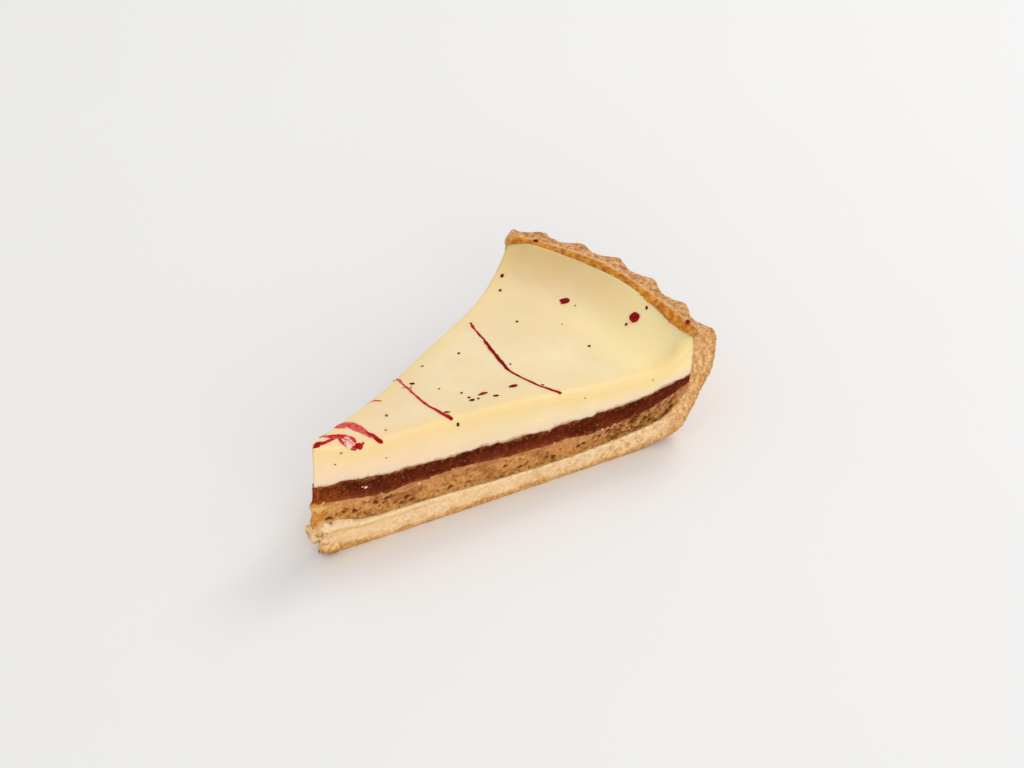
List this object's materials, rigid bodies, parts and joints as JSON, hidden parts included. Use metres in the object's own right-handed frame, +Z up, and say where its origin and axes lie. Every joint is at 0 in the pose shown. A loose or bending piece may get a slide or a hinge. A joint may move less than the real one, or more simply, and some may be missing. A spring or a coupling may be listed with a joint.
{
  "type": "slice of panna cotta tart",
  "caption": "Wedge of layered cream tart in a fluted shortcrust case, with its layers showing at both cuts, a crumbly tip and a berry drizzle on top.",
  "frame": {"origin": "middle of the slice's footprint box, on the surface it rests on", "axes": "+X from the pointed tip to the crust along the slice's bisector, +Y across the slice towards the far cut, +Z up"},
  "size_m": [0.1356, 0.0838, 0.0403],
  "materials": {
    "shortcrust": "sandy baked shortcrust, matte",
    "sponge": "moist almond sponge with open crumb, matte",
    "fruit": "dark cooked fruit, slightly moist",
    "cream": "set cream, smooth satin sheen, slightly translucent"
  },
  "bodies": {
    "root": {"pastry_case": "shortcrust", "almond_sponge": "sponge", "fruit_layer": "fruit", "panna_cotta": "cream"}
  },
  "joints": []
}
